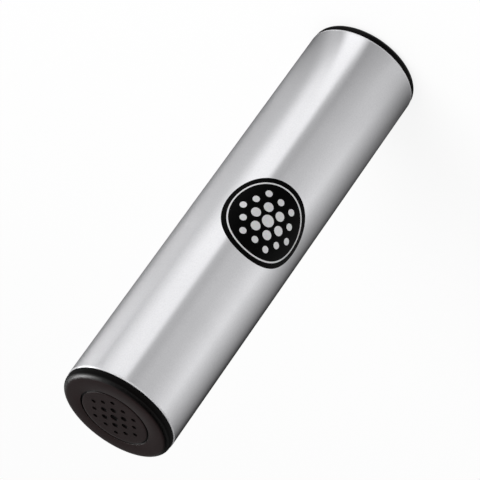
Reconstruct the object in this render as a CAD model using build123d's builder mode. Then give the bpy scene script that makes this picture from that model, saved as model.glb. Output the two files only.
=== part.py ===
from build123d import *
from math import cos, hypot, pi, radians, sin, sqrt
import os

# Ganza shaker: a thin aluminium tube, the same moulded plug cap pressed into each end,
# and a charge of loose steel shot in the chamber between the caps.
# It stands upright on its lower cap. Z runs along the tube, from the lower face at zero.
# All lengths are in millimetres.

# Tube: drawn aluminium, cut square and deburred
tube_diameter = 60.0
tube_wall = 1.2
tube_length = 235.5
tube_edge_break = 0.35

# Cap flange: what shows outside the tube
flange_height = 5.1
flange_setback = 0.32  # how far the flange's side stands inside the tube's outer wall
flange_edge_radius = 3.4
flange_edge_steps = 3  # short cones that make up the rounded edge

# Cap plug: the hollow skirt inside the tube
face_wall = 2.6
well_corner = 0.8
skirt_depth = 12.0
skirt_wall = 2.1
skirt_gap = 0.5  # skirt to bore
lead_in = 0.9

# Barbed ribs round the skirt, which hold the cap in the bore
rib_count = 3
rib_start = 3.0  # from the flange to the first rib
rib_pitch = 1.6
rib_gap = 0.05  # rib tip to bore, as it lies once it is pressed in

# Shot: identical steel balls
shot_diameter = 5.0
shot_gap = 0.2  # between a ball and its neighbours, so that every column runs free
shot_wall_gap = 0.4  # outermost balls to the skirt
shot_layers = 3
shot_ring_count = 6  # groups of columns, counted from the middle, that move as one

tube_radius = tube_diameter / 2
bore_radius = tube_radius - tube_wall
flange_radius = tube_radius - flange_setback
skirt_radius = bore_radius - skirt_gap
rib_radius = bore_radius - rib_gap
well_radius = skirt_radius - skirt_wall
cap_depth = flange_height + skirt_depth
overall_length = tube_length + 2 * flange_height

os.makedirs("parts", exist_ok=True)


with BuildPart() as tube:
    with BuildSketch(Plane.XY.offset(flange_height)):
        Circle(tube_radius)
        Circle(bore_radius, mode=Mode.SUBTRACT)
    extrude(amount=tube_length)
    tube_ends = tube.faces().filter_by(Axis.Z)
    chamfer(tube_ends.edges(), length=tube_edge_break)
tube.part.label = "tube"
export_step(tube.part, "parts/tube.step")


# The cap's half section, as (distance from the axis, depth from the outer face).
# The flange's rounded edge follows an arc in short straight steps.
edge_angles = [radians(90) * step / flange_edge_steps for step in range(flange_edge_steps + 1)]
edge_points = [
    (
        flange_radius - flange_edge_radius * (1 - sin(angle)),
        flange_edge_radius * (1 - cos(angle)),
    )
    for angle in edge_angles
]
# Each rib is steep towards the flange and slopes away towards the plug's open end,
# so the cap goes into the bore easily and won't come out.
rib_depths = [flange_height + rib_start + rib_pitch * rib for rib in range(rib_count)]
rib_points = []
for depth in rib_depths:
    rib_points += [(skirt_radius, depth), (rib_radius, depth)]
cap_points = [
    (0, 0),
    *edge_points,
    (flange_radius, flange_height),
    (skirt_radius, flange_height),
    *rib_points,
    (skirt_radius, rib_depths[-1] + rib_pitch),
    (skirt_radius, cap_depth - lead_in),
    (skirt_radius - lead_in, cap_depth),
    (well_radius, cap_depth),
    (well_radius, face_wall + well_corner),
    (well_radius - well_corner, face_wall),
    (0, face_wall),
]
# The upper cap is the lower one turned over, so its section is drawn downwards.
cap_planes = {
    "bottom_cap": Plane.XZ,
    "top_cap": Plane(origin=(0, 0, overall_length), x_dir=(1, 0, 0), z_dir=(0, 1, 0)),
}
for name, plane in cap_planes.items():
    with BuildPart() as cap:
        with BuildSketch(plane):
            with BuildLine():
                Polyline(*cap_points, close=True)
            make_face()
        revolve(axis=Axis.Z)
    cap.part.label = name
    export_step(cap.part, f"parts/{name}.step")


# A ball is drawn with twenty flat facets, sized so that it weighs what the round ball weighs.
# Its corners are the twelve corners of three crossed golden rectangles.
golden_ratio = (1 + sqrt(5)) / 2
ball_volume = pi * shot_diameter**3 / 6
ball_side = (12 * ball_volume / (5 * (3 + sqrt(5)))) ** (1 / 3)
short_half = ball_side / 2
long_half = ball_side / 2 * golden_ratio
ball_corners = []
for short in (-short_half, short_half):
    for long in (-long_half, long_half):
        ball_corners += [(long, short, 0), (0, long, short), (short, 0, long)]
with BuildPart() as ball:
    ConvexPolyhedron(ball_corners)

# The balls stand in columns on a hexagonal grid, each column free to slide along the tube.
# The columns are grouped in rings of equal width by their distance from the middle.
shot_pitch = shot_diameter + shot_gap
row_pitch = shot_pitch * sqrt(3) / 2
shot_reach = well_radius - shot_wall_gap - shot_diameter / 2
grid_steps = int(shot_reach / row_pitch) + 1
shot_rings = {}
for row in range(-grid_steps, grid_steps + 1):
    for place in range(-2 * grid_steps, 2 * grid_steps + 1):
        x = (place + row / 2) * shot_pitch
        y = row * row_pitch
        if hypot(x, y) < shot_reach:
            ring = 1 + int(shot_ring_count * hypot(x, y) / shot_reach)
            shot_rings.setdefault(ring, []).append((x, y))

for ring, columns in sorted(shot_rings.items()):
    for layer in range(1, shot_layers + 1):
        height = face_wall + (layer - 1 / 2) * shot_pitch
        with BuildPart() as shot:
            with Locations(*[(x, y, height) for x, y in columns]):
                add(ball.part)
        shot.part.label = f"shot_ring_{ring}_layer_{layer}"
        export_step(shot.part, f"parts/{shot.part.label}.step")

ring_sizes = {ring: len(columns) for ring, columns in sorted(shot_rings.items())}
shot_travel = overall_length - 2 * face_wall - shot_layers * shot_pitch
print("overall length", overall_length, "bore radius", bore_radius)
print("columns in each ring", ring_sizes, "balls", sum(ring_sizes.values()) * shot_layers)
print("ball volume", ball.part.volume, "shot travel", shot_travel)
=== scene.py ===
# %% [markdown]
# A ganza is the Brazilian tube shaker: a thin aluminium tube closed by two black moulded caps,
# with a charge of steel shot inside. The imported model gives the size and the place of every
# piece, so we load it first and keep it as it is. What we make here takes its place, piece for
# piece.

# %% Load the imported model
from math import cos, hypot, pi, radians, sin, sqrt, tau

import bmesh
import bpy
from mathutils import Matrix, Quaternion, Vector


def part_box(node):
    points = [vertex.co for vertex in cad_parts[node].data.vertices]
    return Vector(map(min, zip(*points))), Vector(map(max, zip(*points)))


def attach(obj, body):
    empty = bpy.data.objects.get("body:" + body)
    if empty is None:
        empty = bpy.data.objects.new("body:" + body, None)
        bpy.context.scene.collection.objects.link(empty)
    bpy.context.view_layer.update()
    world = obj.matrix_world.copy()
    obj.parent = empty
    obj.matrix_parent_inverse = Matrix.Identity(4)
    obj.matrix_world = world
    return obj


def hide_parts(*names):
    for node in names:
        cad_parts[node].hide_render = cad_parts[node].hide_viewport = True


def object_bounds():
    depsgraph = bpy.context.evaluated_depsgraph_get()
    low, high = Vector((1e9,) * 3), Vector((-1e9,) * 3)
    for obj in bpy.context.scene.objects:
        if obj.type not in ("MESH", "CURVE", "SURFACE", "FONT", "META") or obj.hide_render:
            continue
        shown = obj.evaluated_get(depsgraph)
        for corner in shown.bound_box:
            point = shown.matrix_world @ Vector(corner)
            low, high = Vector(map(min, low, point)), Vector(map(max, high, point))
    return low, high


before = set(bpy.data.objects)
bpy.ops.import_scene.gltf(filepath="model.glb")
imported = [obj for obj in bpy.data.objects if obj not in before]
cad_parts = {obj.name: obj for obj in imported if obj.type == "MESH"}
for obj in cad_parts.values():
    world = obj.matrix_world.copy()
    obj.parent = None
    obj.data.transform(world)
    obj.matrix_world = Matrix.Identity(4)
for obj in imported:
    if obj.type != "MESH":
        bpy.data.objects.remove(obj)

packed_low, packed_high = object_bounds()
print("packed model, in millimetres:", [round(1000 * side, 2) for side in packed_high - packed_low])

# %% [markdown]
# Blender measures in metres and a maker thinks in millimetres, so one unit is named for that.
# The tube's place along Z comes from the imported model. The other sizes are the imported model's
# too, but for one: the metal is drawn five hundredths of a millimetre slimmer than its real
# 30 mm. The ink that is printed on it later has a thickness, and so it ends at the packed
# model's size instead of outside it.

# %% Sizes of the real object
mm = 0.001
tube_radius = 29.95 * mm
bore_radius = 28.8 * mm
flange_height = 5.1 * mm
face_wall = 2.6 * mm

tube_low, tube_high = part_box("tube")
overall_length = packed_high.z
half_length = overall_length / 2
print("tube from", round(tube_low.z / mm, 2), "to", round(tube_high.z / mm, 2), "mm")

# %% [markdown]
# The photograph looks down on the standing shaker from the front, a little from the right,
# and the camera is rolled so far that the upper end points to the lower left. A long lens from
# a metre and a half keeps the two ends nearly the same size. A camera that tracks its target
# stands level, so the roll is a second turn round its own line of sight. The camera and the
# lamps are both placed by a bearing, counted from the front round to the right, and by an
# elevation.

# %% Camera
aim = Vector((0, 0, 127.2 * mm))
camera_bearing = 8.608
camera_elevation = 29.5
camera_distance = 1.447
camera_roll = radians(-144.53)


def way_out(bearing, elevation):
    """The direction away from the object at a bearing and an elevation, both in degrees."""
    level = cos(radians(elevation))
    return Vector((
        sin(radians(bearing)) * level,
        -cos(radians(bearing)) * level,
        sin(radians(elevation)),
    ))


def add_to_scene(name, data):
    """A new object in the scene, at the origin."""
    added = bpy.data.objects.new(name, data)
    bpy.context.scene.collection.objects.link(added)
    return added


camera = add_to_scene("camera", bpy.data.cameras.new("camera"))
camera.data.sensor_width = 36
camera.data.lens = 219.7
camera.data.shift_x = -0.00105  # half a pixel, to frame the shaker as the photograph does
camera.data.shift_y = 0.00158
towards_camera = way_out(camera_bearing, camera_elevation)
camera.location = aim + towards_camera * camera_distance
camera.rotation_mode = "QUATERNION"
level_view = (-towards_camera).to_track_quat("-Z", "Y")
camera.rotation_quaternion = level_view @ Quaternion((0, 0, 1), camera_roll)
bpy.context.scene.camera = camera
print("camera at", [round(place, 4) for place in camera.location])

# %% [markdown]
# Every finish below is a small network of nodes. Three helpers keep those networks short: one
# turns a colour as a painter writes it into the linear numbers that light adds up in, one adds
# a node, sets it and links what feeds it, and one starts a new finish. A pattern on a finish
# is drawn in the object's own coordinates, so it stays on the piece when the piece moves.

# %% Helpers for finishes
noise_span = {"From Min": 0.3, "From Max": 0.7}  # most of what a noise texture gives lies here


def linear(colour):
    """An sRGB colour such as "#8899aa" as linear red, green, blue and alpha."""
    channels = [int(colour[start:start + 2], 16) / 255 for start in (1, 3, 5)]
    straight = [c / 12.92 if c <= 0.04045 else ((c + 0.055) / 1.055) ** 2.4 for c in channels]
    return (*straight, 1.0)


def add_node(tree, kind, inputs=None, **settings):
    """Adds a node. Each input is a number or colour, or the output socket that feeds it."""
    node = tree.nodes.new(kind)
    for name, value in settings.items():
        setattr(node, name, value)
    for socket, value in (inputs or {}).items():
        if isinstance(value, bpy.types.NodeSocket):
            tree.links.new(value, node.inputs[socket])
        else:
            node.inputs[socket].default_value = value
    return node


def new_finish(name):
    """A new material, with its node tree, its Principled shader and the place of each point."""
    finish = bpy.data.materials.new(name)
    finish.use_nodes = True
    tree = finish.node_tree
    place = add_node(tree, "ShaderNodeTexCoord").outputs["Object"]
    return finish, tree, tree.nodes["Principled BSDF"], place


print("a mid grey in linear light:", round(linear("#808080")[0], 3))

# %% [markdown]
# Satin aluminium. The tube is drawn, then rubbed round and round with a fine belt, and left
# clear. The scratches run round it, so a reflection stays fairly sharp across the tube and is
# smeared along it: those are the long light and dark bands of the photograph. Scratches made
# of bump would have to be finer than the render can show. The shader's anisotropy gives the
# same smear, once it knows the way: along the tube on its side, and outwards on its ends.

# %% Satin aluminium: the way light smears
satin_aluminium, tree, shader, place = new_finish("aluminium_satin_belt_polished")
normal = add_node(tree, "ShaderNodeNewGeometry").outputs["Normal"]
round_the_tube = add_node(
    tree, "ShaderNodeVectorMath", {0: (0, 0, 1), 1: place}, operation="CROSS_PRODUCT"
).outputs["Vector"]
smear = add_node(
    tree, "ShaderNodeVectorMath", {0: normal, 1: round_the_tube}, operation="CROSS_PRODUCT"
).outputs["Vector"]
tree.links.new(smear, shader.inputs["Tangent"])
shader.inputs["Anisotropic"].default_value = 1.0
print("finish:", satin_aluminium.name)

# %% [markdown]
# Two marks lie on that metal. The belt has left fine lines round the tube, and hands have left
# a faint cloudiness. Both are noise, the one stretched round the tube and the other not. Real
# belt lines are a few hundredths of a millimetre wide. They are drawn at half a millimetre, so
# that they show, and forty times as long as they are wide.

# %% Satin aluminium: belt lines and handling
belt_line_width = 0.5 * mm
belt_line_length = 20 * mm
handling_patch = 25 * mm

belt_space = add_node(
    tree,
    "ShaderNodeMapping",
    {"Vector": place, "Scale": (1 / belt_line_length, 1 / belt_line_length, 1 / belt_line_width)},
).outputs["Vector"]
belt_lines = add_node(
    tree, "ShaderNodeTexNoise", {"Vector": belt_space, "Scale": 1.0, "Detail": 3.0, "Roughness": 0.6}
).outputs["Fac"]
handling = add_node(
    tree, "ShaderNodeTexNoise", {"Vector": place, "Scale": 1 / handling_patch, "Detail": 2.0}
).outputs["Fac"]
print("belt lines", belt_line_length / belt_line_width, "times as long as wide")

# %% [markdown]
# The deburring tool leaves the tube's ends duller than its side, so the finish needs to know
# how near an end each point is: 0 along the tube, 1 on the last half millimetre. A deburred
# edge is so rough that it scatters light from all round, as paint does. The shader's metal
# can't, so there half of it is a plain light grey. It gives the thin light line beside a cap.

# %% Satin aluminium: ends and roughness
end_band = 0.5 * mm
half_tube = (tube_high.z - tube_low.z) / 2
deburred_roughness = 0.5
handled_roughness_gain = 0.04


def off_middle(tree, place):
    """How far each point is above or below the middle of the shaker."""
    height = add_node(tree, "ShaderNodeSeparateXYZ", {"Vector": place}).outputs["Z"]
    from_middle = add_node(
        tree, "ShaderNodeMath", {0: height, 1: half_length}, operation="SUBTRACT"
    ).outputs["Value"]
    return add_node(tree, "ShaderNodeMath", {0: from_middle}, operation="ABSOLUTE").outputs["Value"]


at_the_end = add_node(
    tree,
    "ShaderNodeMapRange",
    {
        "Value": off_middle(tree, place),
        "From Min": half_tube - 2 * end_band,
        "From Max": half_tube - end_band,
    },
).outputs["Result"]
metal_share = add_node(
    tree, "ShaderNodeMapRange", {"Value": at_the_end, "To Min": 1.0, "To Max": 0.5}
).outputs["Result"]
worked_roughness = add_node(
    tree, "ShaderNodeMapRange", {"Value": belt_lines, **noise_span, "To Min": 0.29, "To Max": 0.31}
).outputs["Result"]
handled_roughness = add_node(
    tree,
    "ShaderNodeMath",
    {0: handling, 1: handled_roughness_gain, 2: worked_roughness},
    operation="MULTIPLY_ADD",
).outputs["Value"]
roughness = add_node(
    tree,
    "ShaderNodeMix",
    {"Factor": at_the_end, "A": handled_roughness, "B": deburred_roughness},
    data_type="FLOAT",
).outputs["Result"]
tree.links.new(metal_share, shader.inputs["Metallic"])
tree.links.new(roughness, shader.inputs["Roughness"])
print("dull ends from", round((half_tube - end_band) / mm, 2), "mm off the middle")

# %% [markdown]
# Close up, satin aluminium sparkles: it is made of small crystals, and each is a little lighter
# or darker than the next. Real ones are about a tenth of a millimetre across. They are drawn at
# 0.6 mm, so that they show. The same pattern gives the metal its colour, between two light
# greys that are a touch blue, and a bump of a hundredth of a millimetre.

# %% Satin aluminium: colour and sparkle
crystal_size = 0.6 * mm
belt_line_share = 0.25  # of the pattern, the rest is crystals

crystals = add_node(
    tree, "ShaderNodeTexNoise", {"Vector": place, "Scale": 1 / crystal_size, "Detail": 1.0}
).outputs["Fac"]
sparkle = add_node(
    tree,
    "ShaderNodeMix",
    {"Factor": belt_line_share, "A": crystals, "B": belt_lines},
    data_type="FLOAT",
).outputs["Result"]
metal_colour = add_node(
    tree,
    "ShaderNodeMix",
    {"Factor": sparkle, "A": linear("#e0e0e3"), "B": linear("#f8f8fa")},
    data_type="RGBA",
).outputs["Result"]
belt_bump = add_node(
    tree, "ShaderNodeBump", {"Height": sparkle, "Strength": 0.1, "Distance": 0.01 * mm}
).outputs["Normal"]
tree.links.new(metal_colour, shader.inputs["Base Color"])
tree.links.new(belt_bump, shader.inputs["Normal"])
print("finish:", satin_aluminium.name, len(tree.nodes), "nodes")

# %% [markdown]
# The tube and the caps are turned shapes, so the half section of each is drawn once and spun.
# Its corners are rounded before the spin, because no real corner is sharp: a rounded one
# catches the light as a thin bright line. The first point of a spin and its last fall together
# and have to be merged, or the seam stays open.

# %% Helper that spins a section
turn_steps = 192
rounding_step = 0.3 * mm  # length of one facet of a rounded corner
fewest_rounding_steps = 3
same_point = 0.001 * mm  # points that are nearer to each other than this are merged


def spin_section(section, closed):
    """Spins a half section round Z. Each point is (distance from the axis, height, rounding)."""
    shape = bmesh.new()
    points = [shape.verts.new((distance, 0, height)) for distance, height, rounding in section]
    for start, end in zip(points, points[1:]):
        shape.edges.new((start, end))
    if closed:
        shape.edges.new((points[-1], points[0]))
    for point, (distance, height, rounding) in zip(points, section):
        if rounding:
            bmesh.ops.bevel(
                shape,
                geom=[point],
                offset=rounding,
                affect="VERTICES",
                segments=max(fewest_rounding_steps, int(rounding / rounding_step)),
                profile=0.5,
                material=-1,
            )
    bmesh.ops.spin(
        shape,
        geom=shape.verts[:] + shape.edges[:],
        axis=(0, 0, 1),
        cent=(0, 0, 0),
        angle=tau,
        steps=turn_steps,
        use_merge=True,
    )
    bmesh.ops.remove_doubles(shape, verts=shape.verts[:], dist=same_point)
    return shape


print("a spin takes", turn_steps, "steps")

# %% [markdown]
# A shape becomes a piece in the same few steps each time. Its faces are turned outwards, it is
# shaded smooth except across real corners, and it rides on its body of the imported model. Where
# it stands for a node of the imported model, it hides that node. The count of open edges is
# printed, because a real solid has none.

# %% Helpers that make a piece
sharp_angle = radians(32)


def mesh_from(name, shape, finishes):
    """Turns a bmesh into a mesh with its finishes."""
    mesh = bpy.data.meshes.new(name)
    shape.to_mesh(mesh)
    shape.free()
    for finish in finishes:
        mesh.materials.append(finish)
    return mesh


def make_piece(name, shape, finishes, body, stands_for=()):
    """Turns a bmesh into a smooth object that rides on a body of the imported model."""
    bmesh.ops.recalc_face_normals(shape, faces=shape.faces[:])
    open_edges = sum(not edge.is_manifold for edge in shape.edges)
    mesh = mesh_from(name, shape, finishes)
    mesh.shade_smooth()
    mesh.set_sharp_from_angle(angle=sharp_angle)
    piece = add_to_scene(name, mesh)
    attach(piece, body)
    if stands_for:
        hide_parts(*stands_for)
    print("piece:", name, len(mesh.polygons), "faces,", open_edges, "open edges")


print("corners over", round(sharp_angle * 180 / pi), "degrees stay sharp")

# %% [markdown]
# The tube itself: a wall of about 1.2 mm, cut square and deburred inside and out. Four points
# are enough for its half section, one for each corner, and each corner is rounded by 0.4 mm.

# %% Tube
tube_corner = 0.4 * mm
tube_section = [
    (tube_radius, tube_low.z, tube_corner),
    (tube_radius, tube_high.z, tube_corner),
    (bore_radius, tube_high.z, tube_corner),
    (bore_radius, tube_low.z, tube_corner),
]
make_piece(
    "tube_metal",
    spin_section(tube_section, closed=True),
    [satin_aluminium],
    "barrel",
    stands_for=["tube"],
)

# %% [markdown]
# The caps are injection moulded in black plastic. The mould was spark eroded where it forms the
# outer faces. The sides and what is sunk in the faces, the dimples and the groove, are coloured
# near black, darker than the faces: a painted shade. Real spark grain is about 0.1 mm. It is drawn
# at half a millimetre, so that it shows. Larger cloudy patches show where the plastic cooled at
# different speeds. Its index of refraction is 1.6, a little over the 1.53 of ABS, to match the
# sheen in the photograph.

# %% Black moulded plastic: grain, colour and painted shade
grain_size = 0.5 * mm
flow_patch = 9 * mm
grain_depth = 0.03 * mm
face_starts = 0.5 * mm  # below the outer face, where its colour begins
face_is_full = 0.05 * mm

cap_plastic, tree, shader, place = new_finish("plastic_black_moulded_matte")
towards_end = off_middle(tree, place)
grain = add_node(
    tree, "ShaderNodeTexNoise", {"Vector": place, "Scale": 1 / grain_size, "Detail": 2.0}
).outputs["Fac"]
flow_marks = add_node(
    tree, "ShaderNodeTexNoise", {"Vector": place, "Scale": 1 / flow_patch, "Detail": 3.0}
).outputs["Fac"]
face_colour = add_node(
    tree,
    "ShaderNodeMix",
    {"Factor": flow_marks, "A": linear("#1c1212"), "B": linear("#261b1b")},
    data_type="RGBA",
).outputs["Result"]
# 1 on the face, 0 from half a millimetre below it: the sides and the sunk dimples and groove get a
# near-black painted shade.
face_not_painted_shade = add_node(
    tree,
    "ShaderNodeMapRange",
    {
        "Value": towards_end,
        "From Min": half_length - face_starts,
        "From Max": half_length - face_is_full,
    },
).outputs["Result"]
# The face's own colour, and below the face the near-black #050404 as a painted shade.
plastic_colour_with_painted_shade = add_node(
    tree,
    "ShaderNodeMix",
    {"Factor": face_not_painted_shade, "A": linear("#050404"), "B": face_colour},
    data_type="RGBA",
).outputs["Result"]
plastic_bump = add_node(
    tree, "ShaderNodeBump", {"Height": grain, "Strength": 0.25, "Distance": grain_depth}
).outputs["Normal"]
tree.links.new(plastic_colour_with_painted_shade, shader.inputs["Base Color"])
tree.links.new(plastic_bump, shader.inputs["Normal"])
shader.inputs["IOR"].default_value = 1.6
print("finish:", cap_plastic.name)

# %% [markdown]
# Hands and tables rub a cap's face, and the part of its rounded rim that is nearest to the
# face, to a low sheen. From two millimetres below the face, where nothing touches it, the
# plastic stays dull, and its reflection is turned down almost to nothing, a painted shade that
# keeps the sides deep black. So the finish follows the distance from the face: towards it the
# roughness falls, and the reflection's tint rises from almost black to white.

# %% Black moulded plastic: rubbed sheen and painted shade on the sides
sheen_starts = 2.0 * mm  # below the outer face
sheen_is_full = 0.9 * mm
dull_roughness = 0.8
# The sides' reflection tint, turned down as a painted shade.
painted_shade_sheen = 0.05

rubbed_vs_painted_shade = add_node(
    tree,
    "ShaderNodeMapRange",
    {
        "Value": towards_end,
        "From Min": half_length - sheen_starts,
        "From Max": half_length - sheen_is_full,
    },
).outputs["Result"]
rubbed_roughness = add_node(
    tree, "ShaderNodeMapRange", {"Value": grain, **noise_span, "To Min": 0.33, "To Max": 0.43}
).outputs["Result"]
plastic_roughness = add_node(
    tree,
    "ShaderNodeMix",
    {"Factor": rubbed_vs_painted_shade, "A": dull_roughness, "B": rubbed_roughness},
    data_type="FLOAT",
).outputs["Result"]
# The reflection's tint: full on the rubbed face and rim, almost black on the sides as a painted shade.
sheen_with_painted_side_shade = add_node(
    tree, "ShaderNodeMix", {"Factor": rubbed_vs_painted_shade, "A": painted_shade_sheen, "B": 1.0}, data_type="FLOAT"
).outputs["Result"]
tree.links.new(plastic_roughness, shader.inputs["Roughness"])
tree.links.new(sheen_with_painted_side_shade, shader.inputs["Specular Tint"])
print("finish:", cap_plastic.name, len(tree.nodes), "nodes")

# %% [markdown]
# One moulding serves both ends: a flange that closes the tube, and a plug that is pressed into
# it. A lead-in eases the plug in, and three barbed ribs round it hold it there for good. It is
# hollow, because a moulding needs even walls, and the shot lies in its well.

# %% Sizes of a cap
flange_radius = 29.68 * mm
flange_rim = 3.4 * mm
plug_depth = 12.0 * mm
skirt_gap = 0.5 * mm  # skirt to bore
rib_gap = 0.05 * mm  # rib tip to bore
skirt_wall = 2.1 * mm
lead_in = 0.9 * mm
well_corner = 0.8 * mm
first_rib = 3.0 * mm  # from the flange
rib_pitch = 1.6 * mm
rib_count = 3
groove_radius = 18.5 * mm
groove_width = 1.0 * mm
groove_depth = 0.6 * mm
dimple_field_radius = 16.5 * mm

skirt_radius = bore_radius - skirt_gap
rib_radius = bore_radius - rib_gap
well_radius = skirt_radius - skirt_wall
cap_depth = flange_height + plug_depth
print("cap", round(cap_depth / mm, 1), "mm deep, its well", round(2 * well_radius / mm, 1), "mm across")

# %% [markdown]
# The cap's half section runs over the outer face, the rounded rim and the flange's side, then
# along the ribbed plug and back through the well. A shallow ring groove in the face is part of
# it. The section leaves the middle of the face open, because what comes there isn't a turned
# shape. Every corner that stands out has the small rounding that a mould gives it.

# %% Section of a cap
groove_edge = 0.12 * mm
flange_heel = 0.15 * mm
rib_tip = 0.1 * mm
plug_edge = 0.2 * mm
well_mouth = 0.3 * mm


def cap_section():
    """Half section of a cap as (distance from the axis, depth from the outer face, rounding)."""
    groove_inner = groove_radius - groove_width / 2
    groove_outer = groove_radius + groove_width / 2
    rib_depths = [flange_height + first_rib + rib * rib_pitch for rib in range(rib_count)]
    section = [
        (dimple_field_radius, 0, 0),
        (groove_inner, 0, groove_edge),
        (groove_inner, groove_depth, 0),
        (groove_outer, groove_depth, 0),
        (groove_outer, 0, groove_edge),
        (flange_radius, 0, flange_rim),
        (flange_radius, flange_height, flange_heel),
        (skirt_radius, flange_height, 0),
    ]
    for depth in rib_depths:
        section += [(skirt_radius, depth, 0), (rib_radius, depth, rib_tip)]
    section += [
        (skirt_radius, rib_depths[-1] + rib_pitch, 0),
        (skirt_radius, cap_depth - lead_in, plug_edge),
        (skirt_radius - lead_in, cap_depth, plug_edge),
        (well_radius, cap_depth, well_mouth),
        (well_radius, face_wall, well_corner),
        (0, face_wall, 0),
    ]
    return section


print("cap section:", len(cap_section()), "points")

# %% [markdown]
# Each face carries a cluster of round dimples, a plain moulded ornament laid out like the shot
# inside: one ball, six round it, twelve round those. The print on the tube has the same
# cluster, and the shot is a larger one. So one helper works out the places, on a hexagonal grid.

# %% Helpers for clusters of circles
def cluster_places(pitch, reach=2):
    """Centres of a hexagonal cluster, each with its ring: 0 in the middle, then 1, then 2."""
    places = []
    for row in range(-reach, reach + 1):
        for step in range(-reach, reach + 1):
            ring = max(abs(row), abs(step), abs(row + step))
            if ring <= reach:
                places.append(((step + row / 2) * pitch, row * pitch * sqrt(3) / 2, ring))
    return places


def edges_of(circle):
    """The edges of a new circle, each once, in the same order on every run."""
    return list(dict.fromkeys(edge for vert in circle["verts"] for edge in vert.link_edges))


print("places in a small cluster:", len(cluster_places(1.0)))

# %% [markdown]
# The dimples' outlines are drawn on the face first. The flat between them and the spun part is
# then filled, and each dimple is pushed in from its outline, so there is no cut to clean up.
# The upper cap is the same moulding turned over.

# %% Caps
dimple_depth = 0.7 * mm
dimple_sizes = [4.4 * mm, 3.4 * mm, 2.5 * mm]  # middle, inner six, outer twelve
dimple_pitch = 6.4 * mm
dimple_segments = 24


def cap_shape():
    """The whole cap, standing on its outer face."""
    shape = spin_section(cap_section(), closed=False)
    outline = [edge for edge in shape.edges if edge.is_boundary]
    dimples = []
    for x, y, ring in cluster_places(dimple_pitch):
        circle = bmesh.ops.create_circle(
            shape,
            segments=dimple_segments,
            radius=dimple_sizes[ring] / 2,
            matrix=Matrix.Translation((x, y, 0)),
        )
        dimples.append(edges_of(circle))
        outline += dimples[-1]
    bmesh.ops.triangle_fill(shape, edges=outline, use_beauty=True, normal=(0, 0, -1))
    for rim in dimples:
        sunk = bmesh.ops.extrude_edge_only(shape, edges=rim)["geom"]
        floor_verts = [item for item in sunk if isinstance(item, bmesh.types.BMVert)]
        bmesh.ops.translate(shape, verts=floor_verts, vec=(0, 0, dimple_depth))
        bmesh.ops.contextual_create(shape, geom=floor_verts)
    return shape


lower_cap = cap_shape()
upper_cap = cap_shape()
turned_over = Matrix.Translation((0, 0, overall_length)) @ Matrix.Rotation(pi, 4, "X")
bmesh.ops.transform(upper_cap, matrix=turned_over, verts=upper_cap.verts[:])
for name, shape, node in (
    ("lower_cap_moulding", lower_cap, "bottom_cap"),
    ("upper_cap_moulding", upper_cap, "top_cap"),
):
    make_piece(name, shape, [cap_plastic], "barrel", stands_for=[node])

# %% [markdown]
# The round black mark on the front is screen printed, first with black ink and then with silver
# ink on top of it. The black is a smooth matt enamel that reflects almost nothing. A printing
# screen has a thread every 0.08 mm, and its mesh leaves a faint print in the ink, drawn here at
# 0.6 mm so that it shows.

# %% Black screen-printing ink
mesh_mark_size = 0.6 * mm
mesh_mark_depth = 0.01 * mm

black_ink, tree, shader, place = new_finish("screen_ink_black")
mesh_mark = add_node(
    tree, "ShaderNodeTexNoise", {"Vector": place, "Scale": 1 / mesh_mark_size, "Detail": 1.0}
).outputs["Fac"]
ink_colour = add_node(
    tree,
    "ShaderNodeMix",
    {"Factor": mesh_mark, "A": linear("#020202"), "B": linear("#050505")},
    data_type="RGBA",
).outputs["Result"]
ink_bump = add_node(
    tree, "ShaderNodeBump", {"Height": mesh_mark, "Strength": 0.1, "Distance": mesh_mark_depth}
).outputs["Normal"]
tree.links.new(ink_colour, shader.inputs["Base Color"])
tree.links.new(ink_bump, shader.inputs["Normal"])
shader.inputs["Roughness"].default_value = 0.45
shader.inputs["IOR"].default_value = 1.4
shader.inputs["Specular Tint"].default_value = linear("#181818")
shader.inputs["Specular IOR Level"].default_value = 0.2
print("finish:", black_ink.name, len(tree.nodes), "nodes")

# %% [markdown]
# Silver ink is aluminium flakes in a clear binder, so it is most of a metal and a little of a
# paint, with a fine sparkle because each flake lies its own way. Voronoi cells of random
# colours stand for the flakes. Real ones are a few hundredths of a millimetre across, drawn
# here at 0.35 mm so that they show.

# %% Silver screen-printing ink
flake_size = 0.35 * mm
flake_contrast = 0.12

silver_ink, tree, shader, place = new_finish("screen_ink_silver")
flakes = add_node(
    tree, "ShaderNodeTexVoronoi", {"Vector": place, "Scale": 1 / flake_size}
).outputs["Color"]
flake_colour = add_node(
    tree,
    "ShaderNodeMix",
    {"Factor": flake_contrast, "A": linear("#cfcfd0"), "B": flakes},
    data_type="RGBA",
    blend_type="OVERLAY",
).outputs["Result"]
tree.links.new(flake_colour, shader.inputs["Base Color"])
shader.inputs["Metallic"].default_value = 0.7
shader.inputs["Roughness"].default_value = 0.5
print("finish:", silver_ink.name, len(tree.nodes), "nodes")

# %% [markdown]
# Ink has a thickness, a few hundredths of a millimetre, so everything that is printed is a thin
# closed slab. The helper raises a copy of some flat faces, walls and all, and gives the new slab
# its ink. Earlier slabs keep theirs.

# %% Helper that prints a slab of ink
ink_under = -0.02 * mm  # both inks start just inside the metal
black_ink_thickness = 0.02 * mm
silver_ink_thickness = 0.04 * mm
inks = [black_ink, silver_ink]


def add_slab(shape, flat_faces, thickness, ink):
    """Gives flat faces a thickness upwards and an ink."""
    printed_before = set(shape.faces) - set(flat_faces)
    grown = bmesh.ops.extrude_face_region(shape, geom=flat_faces, use_keep_orig=True)["geom"]
    raised = [item for item in grown if isinstance(item, bmesh.types.BMVert)]
    bmesh.ops.translate(shape, verts=raised, vec=(0, 0, thickness - ink_under))
    for face in set(shape.faces) - printed_before:
        face.material_index = inks.index(ink)


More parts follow.
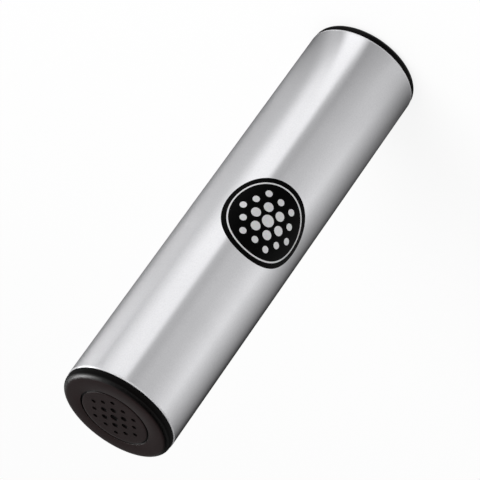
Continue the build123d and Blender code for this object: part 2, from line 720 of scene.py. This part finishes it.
print("silver stands", round((silver_ink_thickness - black_ink_thickness) / mm, 3), "mm above black")

# %% [markdown]
# The print is a disc of black ink, and on it a thin ring and a cluster of dots in silver ink,
# laid out like the dimples. It is drawn flat, as the printer's artwork is.

# %% Printed mark, drawn flat
mark_radius = 23.5 * mm
mark_ring_radius = 20.4 * mm
mark_ring_width = 0.8 * mm
mark_dot_sizes = [6.4 * mm, 5.0 * mm, 3.6 * mm]  # middle, inner six, outer twelve
mark_dot_pitch = 7.3 * mm
mark_segments = 160
mark_dot_segments = 40

mark = bmesh.new()
bmesh.ops.create_circle(mark, cap_ends=True, segments=mark_segments, radius=mark_radius)
add_slab(mark, mark.faces[:], black_ink_thickness, black_ink)

ring_edges = []
for radius in (mark_ring_radius + mark_ring_width / 2, mark_ring_radius - mark_ring_width / 2):
    circle = bmesh.ops.create_circle(mark, segments=mark_segments, radius=radius)
    ring_edges += edges_of(circle)
ring_faces = bmesh.ops.bridge_loops(mark, edges=ring_edges)["faces"]
add_slab(mark, ring_faces, silver_ink_thickness, silver_ink)

for x, y, ring in cluster_places(mark_dot_pitch):
    circle = bmesh.ops.create_circle(
        mark,
        cap_ends=True,
        segments=mark_dot_segments,
        radius=mark_dot_sizes[ring] / 2,
        matrix=Matrix.Translation((x, y, 0)),
    )
    dot = circle["verts"][0].link_faces[:]
    add_slab(mark, dot, silver_ink_thickness, silver_ink)
print("flat print:", len(mark.faces), "faces")

# %% [markdown]
# A flat sheet can only bend where it has edges, so the print is first cut into narrow upright
# strips. Then each point's distance across becomes an angle round the tube, as it does on a
# real printing jig, where the tube rolls under the screen.

# %% Printed mark, bent round the tube
mark_height = 126.0 * mm
mark_turn = radians(-1.6)
strip_width = 0.7 * mm
cut_tolerance = 0.0001 * mm

for cut in range(1, int(2 * mark_radius / strip_width)):
    bmesh.ops.bisect_plane(
        mark,
        geom=mark.verts[:] + mark.edges[:] + mark.faces[:],
        dist=cut_tolerance,
        plane_co=(cut * strip_width - mark_radius, 0, 0),
        plane_no=(1, 0, 0),
    )
for vert in mark.verts:
    across, along, out = vert.co
    angle = across / tube_radius + mark_turn
    reach = tube_radius + ink_under + out
    vert.co = (reach * sin(angle), -reach * cos(angle), mark_height + along)
make_piece("printed_mark", mark, inks, "barrel")

# %% [markdown]
# The shot is hardened steel balls, the cheap kind that bearing makers reject: round and bright
# but not polished, and dulled by knocking about. The knocks are small dull spots, so one noise
# gives both the colour and the roughness.

# %% Tumbled steel
knock_size = 0.8 * mm

shot_steel, tree, shader, place = new_finish("steel_shot_tumbled")
knocks = add_node(
    tree, "ShaderNodeTexNoise", {"Vector": place, "Scale": 1 / knock_size, "Detail": 2.0}
).outputs["Fac"]
steel_colour = add_node(
    tree,
    "ShaderNodeMix",
    {"Factor": knocks, "A": linear("#a9a9a6"), "B": linear("#c9c9c6")},
    data_type="RGBA",
).outputs["Result"]
steel_roughness = add_node(
    tree,
    "ShaderNodeMapRange",
    {"Value": knocks, "From Min": 0.35, "From Max": 0.7, "To Min": 0.2, "To Max": 0.4},
).outputs["Result"]
tree.links.new(steel_colour, shader.inputs["Base Color"])
tree.links.new(steel_roughness, shader.inputs["Roughness"])
shader.inputs["Metallic"].default_value = 1.0
print("finish:", shot_steel.name, len(tree.nodes), "nodes")

# %% [markdown]
# The balls are only seen when the shaker is opened, but they move. They stand in columns on a
# hexagonal grid, and the columns are sorted by their distance from the middle into six rings
# that slide along the tube one by one. Each layer of a ring is its own piece, as in the packed
# model. There are over two hundred balls, so each has only sixty faces and gets its roundness
# from smooth shading.

# %% Steel shot
shot_diameter = 5.0 * mm
shot_gap = 0.2 * mm  # between a ball and its neighbours
shot_wall_gap = 0.4 * mm  # outermost balls to the skirt
shot_ring_count = 6
shot_layers = 3
ball_segments = 10
ball_bands = 6

shot_pitch = shot_diameter + shot_gap
shot_reach = well_radius - shot_wall_gap - shot_diameter / 2
shot_rings = {ring: [] for ring in range(1, shot_ring_count + 1)}
for x, y, _ in cluster_places(shot_pitch, reach=6):
    if hypot(x, y) < shot_reach:
        shot_rings[1 + int(shot_ring_count * hypot(x, y) / shot_reach)].append((x, y))

for ring, columns in shot_rings.items():
    for layer in range(1, shot_layers + 1):
        node = f"shot_ring_{ring}_layer_{layer}"
        height = face_wall + (layer - 1 / 2) * shot_pitch
        balls = bmesh.new()
        for x, y in columns:
            bmesh.ops.create_uvsphere(
                balls,
                u_segments=ball_segments,
                v_segments=ball_bands,
                radius=shot_diameter / 2,
                matrix=Matrix.Translation((x, y, height)),
            )
        make_piece(
            node + "_balls",
            balls,
            [shot_steel],
            f"shot_ring_{ring}",
            stands_for=[node],
        )
        low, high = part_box(node)
        print("  layer from", round(low.z / mm, 2), "to", round(high.z / mm, 2), "mm in the packed model")

# %% [markdown]
# The photograph's background is clean white. More light would give that, but it would spoil the
# object. The Light Path node tells what a ray is for. So what the camera, shiny things and glass
# see can be plain white, while the light that falls on the object stays as it is. The floor and
# the world both need that, so it is a helper.

# %% Helper for a white background
def seen_directly(tree):
    """1 for what the camera, shiny things and glass see, 0 for the light that falls on things."""
    path = add_node(tree, "ShaderNodeLightPath").outputs
    camera_or_gloss = add_node(
        tree,
        "ShaderNodeMath",
        {0: path["Is Camera Ray"], 1: path["Is Glossy Ray"]},
        operation="MAXIMUM",
    ).outputs["Value"]
    return add_node(
        tree,
        "ShaderNodeMath",
        {0: camera_or_gloss, 1: path["Is Transmission Ray"]},
        operation="MAXIMUM",
    ).outputs["Value"]


print("background: plain white where it is seen directly")

# %% [markdown]
# The floor is white paint lit by the lamps, so it takes the object's soft shadow. Where it is
# seen directly, plain white that glows by itself is mixed in. Near the object the paint keeps a
# small share, which shows the shadow. Far away, where the lamps no longer reach, it has none, so
# that the floor runs into the white backdrop.

# %% Floor paint
shadow_reach = 0.4  # metres from the object, where the paint's share begins to fall
plain_from = 1.6
near_plainness = 0.86

white_paint, tree, paint, place = new_finish("floor_white_paint")
paint.inputs["Base Color"].default_value = linear("#f4f4f4")
paint.inputs["Roughness"].default_value = 0.9
paint.inputs["Specular IOR Level"].default_value = 0.0
plain_white = add_node(tree, "ShaderNodeEmission", {"Color": (1, 1, 1, 1), "Strength": 1.0})
distance = add_node(tree, "ShaderNodeVectorMath", {0: place}, operation="LENGTH").outputs["Value"]
plainness = add_node(
    tree,
    "ShaderNodeMapRange",
    {"Value": distance, "From Min": shadow_reach, "From Max": plain_from, "To Min": near_plainness},
    interpolation_type="SMOOTHSTEP",
).outputs["Result"]
white_share = add_node(
    tree, "ShaderNodeMath", {0: seen_directly(tree), 1: plainness}, operation="MULTIPLY"
).outputs["Value"]
upper_side = add_node(
    tree,
    "ShaderNodeMixShader",
    {0: white_share, 1: paint.outputs["BSDF"], 2: plain_white.outputs["Emission"]},
).outputs["Shader"]
print("finish:", white_paint.name)

# %% [markdown]
# From below the floor isn't drawn, or the lower cap could never be looked at. The Backfacing
# output is 1 there, and a transparent shader takes over. The disc is so large that its edge
# lies near the horizon in a level view. It stands a little below the cap's face, because two
# faces in one plane show through each other in patches.

# %% Floor
floor_drop = 0.2 * mm
floor_radius = 20.0  # metres
floor_segments = 64

below = add_node(tree, "ShaderNodeNewGeometry").outputs["Backfacing"]
see_through = add_node(tree, "ShaderNodeBsdfTransparent").outputs["BSDF"]
either_side = add_node(tree, "ShaderNodeMixShader", {0: below, 1: upper_side, 2: see_through})
tree.links.new(either_side.outputs["Shader"], tree.nodes["Material Output"].inputs["Surface"])

floor_shape = bmesh.new()
bmesh.ops.create_circle(
    floor_shape,
    cap_ends=True,
    segments=floor_segments,
    radius=floor_radius,
    matrix=Matrix.Translation((0, 0, -floor_drop)),
)
floor = add_to_scene("floor", mesh_from("floor", floor_shape, [white_paint]))
print("floor normal", [round(n, 2) for n in floor.data.polygons[0].normal])

# %% [markdown]
# A photographer stands shiny metal in a tent of white and grey card, because a metal shows
# nothing but its surroundings. Ours is round, and its card goes from white through grey to
# black and back. The lists say how light the card is at each bearing in three rings on the
# floor round the object, each pair a bearing and a grey. Seen from above, the tube's lower end
# mirrors the ring beside it, and the higher a point is on the tube, the further out it looks.

# %% Greys of the card
beside_reach = 0.035  # metres from the middle of the tube, as the next two are
close_reach = 0.08
far_reach = 0.32

card_beside = [
    (0, 0.50), (8, 0.46), (15, 0.42), (20, 0.44), (25, 0.95), (30, 1.34), (46, 1.38), (50, 1.20),
    (54, 0.78), (58, 0.46), (68, 0.41), (76, 0.34), (90, 0.10), (110, 0.00), (260, 0.00),
    (284, 0.12), (300, 0.28), (315, 0.50), (330, 0.66), (340, 0.68), (350, 0.58), (360, 0.50),
]
card_close = [
    (0, 0.57), (9, 0.50), (17, 0.42), (28, 0.43), (32, 0.85), (35, 1.15), (38, 1.17), (62, 1.25),
    (72, 0.97), (82, 0.56), (93, 0.38), (105, 0.38), (126, 0.33), (142, 0.18), (165, 0.00),
    (178, 0.25), (200, 0.30), (214, 0.00), (222, 0.00), (262, 0.24), (285, 0.52), (305, 0.77),
    (335, 0.71), (346, 0.64), (360, 0.57),
]
card_far = [
    (0, 0.80), (9, 0.77), (17, 0.68), (29, 0.68), (32, 0.97), (35, 1.31), (62, 1.31), (72, 1.18),
    (82, 1.00), (93, 0.60), (105, 0.44), (126, 0.46), (142, 0.38), (165, 0.22), (178, 0.38),
    (200, 0.38), (214, 0.02), (222, 0.00), (262, 0.47), (285, 0.80), (305, 1.12), (335, 0.86),
    (346, 0.80), (360, 0.80),
]
print("greys in the three rings:", len(card_beside), len(card_close), len(card_far))

# %% [markdown]
# A radial gradient gives each point's bearing as a number from 0 to 1, and a colour ramp turns
# that into a grey, one ramp for each list. The point's distance from the object then mixes the
# three.

# %% Graduated card: round the object
graduated_card, tree, unneeded_shader, place = new_finish("card_graduated_grey")
tree.nodes.remove(unneeded_shader)
from_front = add_node(
    tree, "ShaderNodeMapping", {"Vector": place, "Rotation": (0, 0, radians(-90))}
).outputs["Vector"]
bearing = add_node(
    tree, "ShaderNodeTexGradient", {"Vector": from_front}, gradient_type="RADIAL"
).outputs["Fac"]
greys = []
for ring in (card_beside, card_close, card_far):
    ramp = add_node(tree, "ShaderNodeValToRGB", {"Fac": bearing})
    stops = ramp.color_ramp.elements
    for stop, (stop_bearing, grey) in enumerate(ring):
        # A new ramp has two stops. Each further one is added at its end and then set.
        if stop >= len(stops):
            stops.new(1.0)
        stops[stop].position = stop_bearing / 360
        stops[stop].color = (grey, grey, grey, 1)
    greys.append(ramp.outputs["Color"])

outwards = add_node(tree, "ShaderNodeVectorMath", {0: place}, operation="LENGTH").outputs["Value"]
card = greys[0]
for grey, start, end in (
    (greys[1], beside_reach, close_reach),
    (greys[2], close_reach, far_reach),
):
    share = add_node(
        tree, "ShaderNodeMapRange", {"Value": outwards, "From Min": start, "From Max": end}
    ).outputs["Result"]
    card = add_node(
        tree, "ShaderNodeMix", {"Factor": share, "A": card, "B": grey}, data_type="RGBA"
    ).outputs["Result"]

print("finish:", graduated_card.name, "with", len(greys), "rings")

# %% [markdown]
# The card glows by itself, so no lamp has to light it. Its wall darkens upwards and its roof is
# black, so that the black caps stay black.

# %% Graduated card: upwards
wall_fades_from = 0.3  # metres above the floor
wall_is_black_from = 1.5

card_height = add_node(tree, "ShaderNodeSeparateXYZ", {"Vector": place}).outputs["Z"]
fade_upwards = add_node(
    tree,
    "ShaderNodeMapRange",
    {
        "Value": card_height,
        "From Min": wall_fades_from,
        "From Max": wall_is_black_from,
        "To Min": 1.0,
        "To Max": 0.0,
    },
).outputs["Result"]
card_glow = add_node(tree, "ShaderNodeEmission", {"Color": card, "Strength": fade_upwards})
tree.links.new(card_glow.outputs["Emission"], tree.nodes["Material Output"].inputs["Surface"])
print("finish:", graduated_card.name, len(tree.nodes), "nodes")

# %% [markdown]
# The tent is one spun sheet: a floor that starts at the tube, a wall and a roof. Only
# reflections see it, so it lights nothing, casts no shadow and stays out of every view.

# %% Tent
tent_radius = 2.4  # metres
tent_height = 3.0
tent_section = [
    (tube_radius, -floor_drop / 2, 0),
    (tent_radius, -floor_drop / 2, 0),
    (tent_radius, tent_height, 0),
    (0, tent_height, 0),
]
tent_shape = spin_section(tent_section, closed=False)
tent = add_to_scene("tent", mesh_from("tent", tent_shape, [graduated_card]))
tent.visible_camera = False
tent.visible_diffuse = False
tent.visible_transmission = False
tent.visible_volume_scatter = False
tent.visible_shadow = False
print("tent:", len(tent.data.polygons), "faces")

# %% [markdown]
# Two soft lamps light the object. A large one, high on the front right, gives the floor its
# soft shadow. Shiny surfaces don't show it, because the tent is made for them. A smaller one,
# behind on the right, only shows in them: it puts the grey sheen on the upper cap's rim. It is
# kept weak, because seen from the right it also makes a white strip in the metal.

# %% Lamps
def add_softbox(name, bearing, elevation, distance, width, height, power):
    """A soft oval lamp that looks at the middle of the object."""
    lamp_data = bpy.data.lights.new(name, "AREA")
    lamp_data.shape = "ELLIPSE"
    lamp_data.size = width
    lamp_data.size_y = height
    lamp_data.energy = power
    lamp = add_to_scene(name, lamp_data)
    out = way_out(bearing, elevation)
    lamp.location = aim + out * distance
    lamp.rotation_mode = "QUATERNION"
    lamp.rotation_quaternion = out.to_track_quat("Z", "Y")
    lamp.visible_camera = False
    return lamp


key_softbox = add_softbox(
    "key_softbox", bearing=60, elevation=55, distance=1.5, width=1.1, height=1.1, power=16
)
key_softbox.visible_glossy = False
rim_softbox = add_softbox(
    "rim_softbox", bearing=128, elevation=38, distance=1.3, width=1.1, height=0.5, power=10
)
rim_softbox.visible_diffuse = False
print("lamps:", key_softbox.name, rim_softbox.name)

# %% [markdown]
# The world adds an even light from all round. With the lamps it makes a plain level of light, in
# which a mid grey comes out as a mid grey. The camera sees the world as the photograph's white
# backdrop, and so do shiny things where the tent doesn't stand in the way. Blender's usual view
# transform would change the colours, so the plain Standard one is set.

# %% World
even_light = 0.6

world = bpy.data.worlds.new("studio")
bpy.context.scene.world = world
world.use_nodes = True
tree = world.node_tree
world_level = add_node(
    tree,
    "ShaderNodeMapRange",
    {"Value": seen_directly(tree), "To Min": even_light, "To Max": 1.0},
).outputs["Result"]
sky = tree.nodes["Background"]
sky.inputs["Color"].default_value = (1, 1, 1, 1)
tree.links.new(world_level, sky.inputs["Strength"])

bpy.context.scene.view_settings.view_transform = "Standard"
print("world level for the light on things:", even_light)
